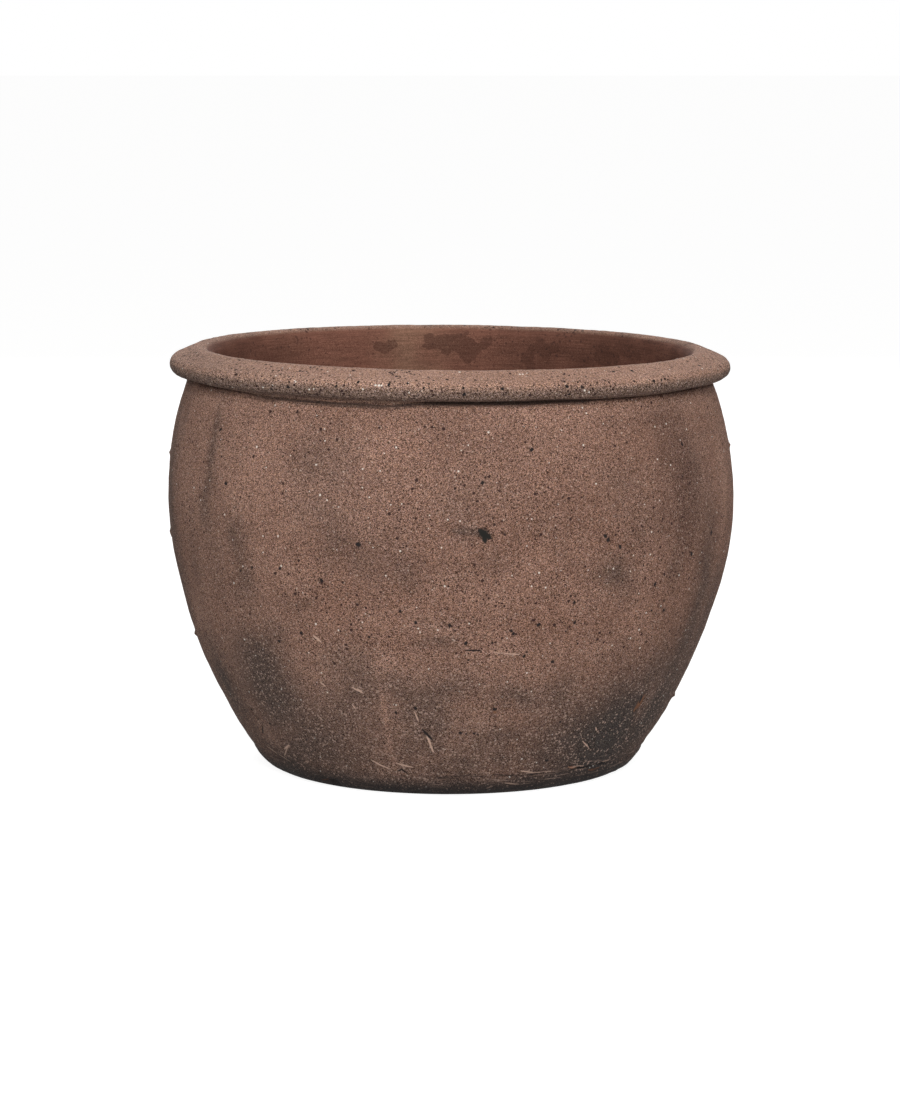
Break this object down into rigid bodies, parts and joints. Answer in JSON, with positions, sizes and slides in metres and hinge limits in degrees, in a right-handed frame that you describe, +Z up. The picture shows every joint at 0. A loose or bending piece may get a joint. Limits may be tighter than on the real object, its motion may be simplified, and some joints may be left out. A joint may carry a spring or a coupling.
{
  "type": "ceramic planter",
  "caption": "Round-bellied unglazed clay planter with a rolled rim, a narrower rounded foot and a drain hole in its floor, for pot plants on a floor or terrace.",
  "frame": {"origin": "centre of the flat standing face, on the surface that the planter stands on", "axes": "+Z up along the turning axis, out of the mouth; the planter is round, so +X and +Y are free, and the picture looks along +Y"},
  "size_m": [0.4049, 0.4048, 0.3],
  "materials": {
    "wall_clay": "unglazed coarse grogged brown clay, smoked in patches, dry and matt",
    "rim_clay": "unglazed coarse grogged brown clay, rubbed by hand, with open pale and dark specks",
    "base_clay": "unglazed coarse brown clay, scraped and smoke-darkened",
    "floor_clay": "unglazed red-brown clay, smoothed by finger"
  },
  "bodies": {
    "root": {"base_slab": "base_clay", "corner_coil": "floor_clay", "lower_wall": "wall_clay", "upper_wall": "wall_clay", "rim_roll": "rim_clay"}
  },
  "joints": []
}
